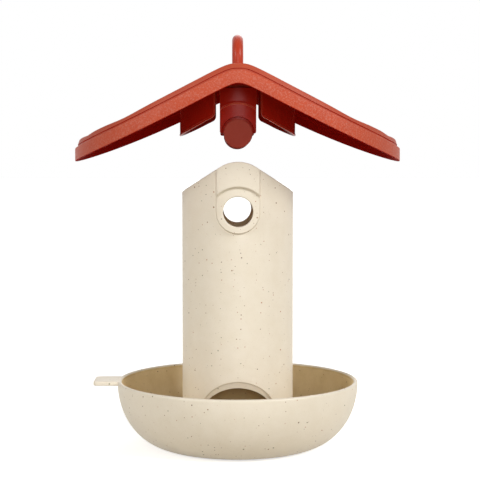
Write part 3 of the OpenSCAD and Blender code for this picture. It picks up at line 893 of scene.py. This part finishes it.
class FEEDER_OT_roof_cap(bpy.types.Operator):
    """Makes the gabled roof with its skirt, step and terraces"""
    bl_idname = "feeder.roof_cap"
    bl_label = "Roof cap"

    def execute(self, context):
        """A profile of (inset, height) carried round the oval: x = (a - inset) cos t,
        y = (b - inset) sin t, and z is the height above the skirt's lower edge at that x. The
        first terrace sinks away from the tips, and the step dips twice, as bell curves of
        sin t."""
        in_1, in_2 = TERRACES[0][0], TERRACES[1][0]
        corners = np.array(self.corners(context.scene.feeder_sizes.roof_edge / MM))
        path = softened(corners[:, :2], corners[1:-1, 2], 4)
        t = drawn_angles(300, 0.3, 0.06)
        inset, height = path[:, :1], path[:, 1:]
        x = (ROOF_A - inset) * np.cos(t)
        y = (ROOF_B - inset) * np.sin(t)
        outside = np.arange(len(path)) < np.argmin(path[:, 0])
        aside = np.abs(np.sin(t))
        past_step = level_step(inset - in_1 + 1, 1.2)
        terrace = past_step * level_step(in_2 - 1 - inset, 1.2)
        eaves = level_step(inset - STEP_INSET - 0.6, 0.8) * (1 - past_step)
        dips = sum(depth * bell(aside - at, width) for depth, at, width in STEP_DIPS)
        sunk = TERRACE_DIP * terrace * level_step(aside - 0.4, 0.44) + eaves * dips
        points = stacked(x, y, roof_height(x, height - outside[:, None] * sunk))
        make_piece("roof_cap", lofted(points), "roof", "roof_shell",
                   ["grained_roof_plastic", "matt_lining_plastic", "smooth_riser_plastic"],
                   self.finishes)
        return {"FINISHED"}

    def corners(self, soft):
        """The profile's corners as (inset, height, rounding), from the middle of the top over
        the terraces, the step, the groove line and the skirt, and back underneath."""
        (in_1, up_1), (in_2, up_2) = TERRACES
        w, groove = ROOF_WALL, STEP_INSET + GROOVE_DEPTH
        lip, low = SKIRT_H + GROOVE, STEP_TOP - ROOF_WALL
        return [
            (ROOF_B, up_2, 0), (85, up_2, 0), (70, up_2, 0), (58, up_2, 0), (53, up_2 - 0.3, 0),
            (in_2, up_2 - 0.9, 0.45), (in_2 - 1.5, up_1 - 1.1, 0.45), (38, 14.8, 0), (27, 16.0, 0),
            (in_1, TERRACE_EDGE, 0.45), (in_1 - 1.2, STEP_TOP - 0.5, 0.45), (11, 14.5, 0),
            (7, 15.0, 0), (STEP_INSET + STEP_LEAN, STEP_EDGE, soft), (STEP_INSET, lip, 0.25),
            (groove, lip - 0.4, 0.2), (groove, SKIRT_H, 0.2), (0, SKIRT_H, 0.6), (0, 5.0, 0),
            (0, 0, 0.8), (w, 0, 0.8), (w, SKIRT_H - w, 0.8), (STEP_INSET + w, SKIRT_H - w, 0.5),
            (STEP_INSET + w, low, 0.5), (10, low, 0), (in_1 + w, low, 0.4),
            (in_1 + w + 0.1, up_1 - w, 0.4), (30, up_1 - w, 0), (in_2 + w, up_1 - w, 0.4),
            (in_2 + w + 0.1, up_2 - w, 0.4), (60, up_2 - w, 0), (75, up_2 - w, 0),
            (ROOF_B, up_2 - w, 0)]

    def finishes(self, look, middle):
        """1 for the underside and 2 for the riser between skirt and step, which both take painted
        shade, 0 for the rest.
        """
        out = outward(look, middle)
        riser = (out > 0.5) & (middle[:, 2] > roof_height(middle[:, 0], SKIRT_H - 0.1))
        return np.where((look[:, 2] < -0.35) | (out < -0.5), 1, np.where(riser, 2, 0))


class FEEDER_OT_roof_collar(bpy.types.Operator):
    """Makes the two curved blades that guide the roof, and the blocks that hold the latches"""
    bl_idname = "feeder.roof_collar"
    bl_label = "Roof collar"

    def execute(self, context):
        """The right blade and the front block, and both again half a turn round."""
        blade, block = self.blade(context.scene.feeder_sizes.blade_lip / MM), self.block()
        # The rounded edges of the blades take a painted highlight
        make_piece("collar_blades", joined(blade, half_turned(blade), block, half_turned(block)),
                   "roof", "roof_collar",
                   ["glossy_latch_plastic", "rubbed_edge_plastic"], on_edge)
        return {"FINISHED"}

    def blade(self, lip):
        """Drawn flat from slot to slot: its lower edge follows the roof and rises at both ends by
        r - sqrt(r^2 - (r - d)^2), which rounds the corners. A fine line frames its face."""
        start = COLLAR_OUT * math.asin(COLLAR_SLOT / COLLAR_OUT)
        end = COLLAR_OUT * math.pi - start
        r = COLLAR_CORNER
        corner = r * (1 - np.cos(quarter_turn(9)))
        u = np.concatenate([start + corner, np.linspace(start + r, end - r, 60)[1:-1],
                            end - corner[::-1]])
        x = COLLAR_OUT * np.sin(u / COLLAR_OUT)
        rise = np.maximum(r - np.minimum(u - start, end - u), 0)
        low = roof_edge(x) - COLLAR_DROP + r - np.sqrt(r * r - rise * rise)
        top = roof_height(x, CEILING)
        left = stacked(start, np.linspace(top[0], low[0], 10)[:-1])
        right = stacked(end, np.linspace(low[-1], top[-1], 10)[1:])
        edge = np.concatenate([left, stacked(u, low), right])
        roofline = stacked(u, top)[::-1][1:-1]

        def outer(u, v, drop):
            """The face, which sinks by a level step at the line that frames it."""
            away = gap_to(stacked(u, v), [(edge, False)]) - FRAME_INSET
            step = FRAME_DEPTH * level_step(away, FRAME_BLEND)
            return self.wrap(u, v, COLLAR_OUT - drop - step)
        return plate([np.concatenate([edge, roofline])], [(edge, False)],
                     [(edge, False, np.linspace(1.1, 2.1, 6))], (2.5, 4), lip, outer,
                     lambda u, v, drop: self.wrap(u, v, COLLAR_IN + drop))

    def wrap(self, u, v, radius):
        """Bends length along the collar's outside round the axis."""
        return wrapped(u / COLLAR_OUT, v, radius, COLLAR_OUT, COLLAR_STRAIGHT)

    def block(self):
        """The latch's seat: an upright profile with a round groove, carried along x, whose top
        stays just inside the roof and whose front stays within the shoulder's circle."""
        groove = circle_path((-TONGUE_MID, ROOT_Z), BEAD_R + 0.3, math.radians(210),
                             math.radians(-30), 25)
        low = ROOT_Z - BEAD_R / 2
        back = -(TONGUE_MID - BEAD_R - 2)
        path = np.concatenate([[[-SHOULDER_R, ROOT_Z], [-SHOULDER_R, low]], groove,
                               [[back, low], [back, ROOT_Z]]])
        x = np.linspace(-TONGUE_HALF, TONGUE_HALF, 21)[:, None]
        points = stacked(x, np.maximum(path[:, 0], -np.sqrt(SHOULDER_R ** 2 - x * x)), path[:, 1])
        points[:, [0, -1], 2] = roof_height(x, CEILING)
        return closed_loft(points, points[[0, -1]].mean(1, keepdims=True))


class FEEDER_OT_latches(bpy.types.Operator):
    """Makes the two sprung tongues under the ridge"""
    bl_idname = "feeder.latches"
    bl_label = "Latches"

    def execute(self, context):
        """The tongue and its root, at the front and at the back."""
        lip = context.scene.feeder_sizes.latch_lip / MM
        # The tongues' rounded edges, away from the button's recess, take a painted highlight
        make_pair("tongue", joined(self.tongue(lip), self.root()), "latch",
                  ["glossy_latch_plastic", "rubbed_edge_plastic"],
                  lambda look, middle: on_edge(look, middle)
                  & (np.hypot(middle[:, 0], middle[:, 2] - BUTTON_Z) > RECESS_EDGE + 0.6))
        return {"FINISHED"}

    def tongue(self, lip):
        """Drawn in x and z: straight sides, rounded corners and a round lobe under the button."""
        half, low = TONGUE_HALF, BUTTON_Z
        left = softened([(-half, TONGUE_TOP), (-half, low), (-LOBE_R, low)], [TONGUE_CORNER], 8)
        fall = np.linspace(0, 1, 15)[:-1, None]
        left = np.concatenate([left[0] + (left[1] - left[0]) * fall, left[1:]])
        lobe = circle_path((0, low), LOBE_R, math.pi, TURN, 33)[1:-1]
        edge = np.concatenate([left, lobe, mirrored(left)])
        outline = np.concatenate([edge, stacked(np.linspace(half, -half, 15)[1:-1], TONGUE_TOP)])
        folds = [(arc_over(low, SHOULDER_ARC, half, 33), False, np.linspace(-0.8, 2.2, 16)),
                 (circle_path((0, low), RECESS_EDGE, math.pi, 0, 41), False,
                  np.linspace(-0.6, 0.6, 7))]
        return plate([outline], [(edge, False)], folds, (2, 3), lip, self.outer_face,
                     lambda x, z, drop: self.bend(x, z, TONGUE_IN + drop))

    def outer_face(self, x, z, drop):
        """Level steps across two circles about the button make the thick shoulder, with a low
        rounded bead on its edge, and the recess that the button sits in."""
        ring = np.hypot(x, z - BUTTON_Z)
        over = ring - SHOULDER_ARC
        shoulder = (SHOULDER_R - TONGUE_OUT) * level_step(over - 0.35, 1.1)
        bead = SHOULDER_BEAD * bell(over - 1.2, 0.55)
        recess = RECESS_DEPTH * level_step(RECESS_EDGE - ring, 0.4) * (z > BUTTON_Z - 1)
        return self.bend(x, z, TONGUE_OUT + (shoulder + bead) * (z > BUTTON_Z) - recess - drop)

    def bend(self, x, z, radius):
        """Bends a flat point to a circle about the Z axis: y = -sqrt(r^2 - x^2)."""
        return stacked(x, -np.sqrt(radius * radius - x * x), z)

    def root(self):
        """The flat neck and the round bead on top of it, one profile carried along x; its ends
        shrink by a quarter circle."""
        opening = math.asin(NECK_HALF / BEAD_R) - NECK_OPEN
        bead = circle_path((0, 0), BEAD_R, -UPRIGHT - opening, 3 * UPRIGHT + opening, 31)
        low = TONGUE_TOP - ROOT_Z - 2.2
        path = np.concatenate([[[NECK_HALF, low]], bead, [[-NECK_HALF, low]]])
        quarter = quarter_turn(5)
        start = ROOT_LIP * (1 - np.cos(quarter)) - TONGUE_HALF + 0.3
        x = np.concatenate([start, [0], -start[::-1]])[:, None]
        shrink = ROOT_LIP * (1 - np.sin(quarter))
        shrink = np.concatenate([shrink, [0], shrink[::-1]])[:, None]
        scale = 1 - shrink / np.hypot(path[:, 0], path[:, 1])
        points = stacked(x, path[:, 0] * scale - TONGUE_MID, path[:, 1] * scale + ROOT_Z)
        return closed_loft(points, stacked(x[[0, -1]], -TONGUE_MID, ROOT_Z - 1))


class FEEDER_OT_buttons(bpy.types.Operator):
    """Makes the two round press buttons"""
    bl_idname = "feeder.buttons"
    bl_label = "Buttons"

    def execute(self, context):
        """A profile of (radius, distance forward) turned about the button's own axis."""
        edge = context.scene.feeder_sizes.button_edge / MM
        path = softened([(0, -BUTTON_FACE), (BUTTON_R / 2, -BUTTON_FACE), (BUTTON_R, -BUTTON_FACE),
                         (BUTTON_R, -TONGUE_MID), (STEM_R, -TONGUE_MID), (STEM_R, -TONGUE_IN),
                         (0, -TONGUE_IN)], [0, edge, 0.4, 0, 0.4], 6)
        front = turned(path, 96, lambda x, y, height: (x, height, BUTTON_Z - y))
        make_pair("press_button", front, "button", ["matt_button_plastic"])
        return {"FINISHED"}


class FEEDER_OT_hanging_loop(bpy.types.Operator):
    """Makes the upright loop on the ridge and the pin that holds it"""
    bl_idname = "feeder.hanging_loop"
    bl_label = "Hanging loop"

    def execute(self, context):
        """The bar, and a pin that is a profile of (radius, y) turned about the Y axis."""
        make_piece("loop_bar", self.bar(), "roof", "hanging_loop",
                   ["smooth_loop_plastic"])
        half = LOOP_R + LOOP_BAR + PIN_PROUD
        path = softened([(0, -half), (PIN_R, -half), (PIN_R, half), (0, half)], [0.4, 0.4])
        pin = turned(path, 32, lambda x, y, height: (x, height, PIN_Z - y))
        make_piece("loop_cross_pin", pin, "roof", "loop_pin",
                   ["matt_button_plastic"])
        return {"FINISHED"}

    def bar(self):
        """A circle carried up one leg, round half a ring and down the other leg; each foot closes
        over an end whose edge is a quarter circle."""
        top = LOOP_TOP - LOOP_BAR - LOOP_R
        quarter = quarter_turn(5)
        foot = LOOP_FOOT + LOOP_LIP * (1 - np.cos(quarter))
        leg = np.concatenate([[LOOP_FOOT], foot, np.linspace(foot[-1], top, 12)[1:-1]])
        a = np.linspace(0, math.pi, 49)
        one = np.ones(len(leg))
        y = np.concatenate([LOOP_R * one, LOOP_R * np.cos(a), -LOOP_R * one])
        z = np.concatenate([leg, top + LOOP_R * np.sin(a), leg[::-1]])
        lean = np.concatenate([0 * one, a, math.pi * one])[:, None]
        radius = np.full(len(z), LOOP_BAR)
        radius[:6] = np.concatenate([[0], LOOP_BAR - LOOP_LIP + LOOP_LIP * np.sin(quarter)])
        radius[-6:] = radius[:6][::-1]
        k = np.linspace(0, TURN, 40, endpoint=False)
        out = radius[:, None] * np.cos(k)
        return lofted(stacked(radius[:, None] * np.sin(k), y[:, None] + out * np.cos(lean),
                              z[:, None] + out * np.sin(lean)))


class FEEDER_OT_studio(bpy.types.Operator):
    """Makes the camera, the lamps, the white surround and the pale floor"""
    bl_idname = "feeder.studio"
    bl_label = "Studio"

    def execute(self, context):
        """The camera stands back along its own line of sight, turned aside about the Z axis."""
        scene = context.scene
        scene.view_settings.view_transform = "Standard"
        lens = bpy.data.cameras.new("photo_view")
        lens.lens, lens.sensor_width = CAMERA["lens"], 36.0
        lens.clip_start, lens.clip_end = 0.05, 100
        camera = placed("photo_view", lens)
        aside, pitch = math.radians(CAMERA["aside"]), math.radians(CAMERA["pitch"])
        away, shift = CAMERA["away"], CAMERA["shift"]
        camera.location = (shift * math.cos(aside) - away * math.sin(aside),
                           -shift * math.sin(aside) - away * math.cos(aside), CAMERA["up"])
        camera.rotation_euler = (UPRIGHT - pitch, 0, -aside)
        scene.camera = camera
        for name, row in LAMPS.items():
            self.lamp(name, *row)
        self.surround(scene)
        self.floor()
        return {"FINISHED"}

    def lamp(self, name, aside, height, spread, power):
        """A far lamp that looks as wide as a soft box."""
        light = bpy.data.lights.new(name, "SUN")
        light.angle, light.energy = math.radians(spread), power
        placed(name, light).rotation_euler = (math.radians(90 - height), 0, math.radians(aside))

    def seen(self, tree):
        """1 for what the camera, a reflection or glass sees, 0 for light that only bounces."""
        ray = node(tree, "LightPath").outputs
        shiny = node(tree, "Math", {0: ray["Is Glossy Ray"], 1: ray["Is Transmission Ray"]},
                     operation="ADD")
        return node(tree, "Math", {0: ray["Is Camera Ray"], 1: shiny}, operation="ADD",
                    use_clamp=True)

    def surround(self, scene):
        """White where it is seen, and a weak warm light on the object."""
        world = bpy.data.worlds.new("white_surround")
        world.use_nodes = True
        tree = world.node_tree
        tree.nodes.clear()
        plain = node(tree, "Background", {"Color": (1, 0.95, 0.86, 1), "Strength": 0.2})
        white = node(tree, "Background", {"Color": (1, 1, 1, 1), "Strength": 1.0})
        mixed = node(tree, "MixShader", {0: self.seen(tree), 1: plain, 2: white})
        node(tree, "OutputWorld", {"Surface": mixed})
        scene.world = world

    def floor(self):
        """A level sheet of card: pale and a little lifted where it is seen, so that only the
        object's shadow shows on it, and grey for the light that it throws back."""
        material, tree = new_material("pale_card_floor")
        pale = node(tree, "BsdfDiffuse", {"Color": linear("#f4f4f2")})
        lift = node(tree, "Emission", {"Color": (1, 1, 1, 1), "Strength": 0.6})
        lit = node(tree, "AddShader", {0: pale, 1: lift})
        grey = node(tree, "BsdfDiffuse", {"Color": linear("#c0b7a6")})
        both = node(tree, "MixShader", {0: self.seen(tree), 1: grey, 2: lit})
        node(tree, "OutputMaterial", {"Surface": both})
        corners = np.array([[-1, -1, 0], [1, -1, 0], [1, 1, 0], [-1, 1, 0]]) * FLOOR_HALF
        sheet = meshed("floor", corners, [[0, 1, 2, 3]])
        sheet.data.materials.append(material)


class FEEDER_PT_panel(bpy.types.Panel):
    """Lists the feeder's pieces, sizes and colours in the sidebar"""
    bl_idname = "FEEDER_PT_panel"
    bl_label = "Silo bird feeder"
    bl_space_type = "VIEW_3D"
    bl_region_type = "UI"
    bl_category = "Feeder"

    def draw(self, context):
        """A button for each maker, then a field for each size and colour."""
        for maker in MAKERS:
            self.layout.operator(maker.bl_idname)
        for group in (context.scene.feeder_sizes, context.scene.feeder_finish):
            for key in group.__annotations__:
                self.layout.prop(group, key)


MAKERS = (FEEDER_OT_seed_tray, FEEDER_OT_seed_divider, FEEDER_OT_silo_tube, FEEDER_OT_roof_cap,
          FEEDER_OT_roof_collar, FEEDER_OT_latches, FEEDER_OT_buttons, FEEDER_OT_hanging_loop,
          FEEDER_OT_studio)
CLASSES = (FEEDER_PG_finish, FEEDER_PG_sizes, *MAKERS, FEEDER_PT_panel)


def register():
    """Makes the classes and the two groups of settings known to Blender."""
    for item in CLASSES:
        bpy.utils.register_class(item)
    bpy.types.Scene.feeder_finish = PointerProperty(type=FEEDER_PG_finish)
    bpy.types.Scene.feeder_sizes = PointerProperty(type=FEEDER_PG_sizes)


def unregister():
    """Takes them out again, in the reverse order."""
    del bpy.types.Scene.feeder_sizes
    del bpy.types.Scene.feeder_finish
    for item in reversed(CLASSES):
        bpy.utils.unregister_class(item)


def main():
    """Makes every piece and the studio."""
    register()
    for maker in MAKERS:
        group, name = maker.bl_idname.split(".")
        getattr(getattr(bpy.ops, group), name)()


if __name__ == "__main__":
    main()
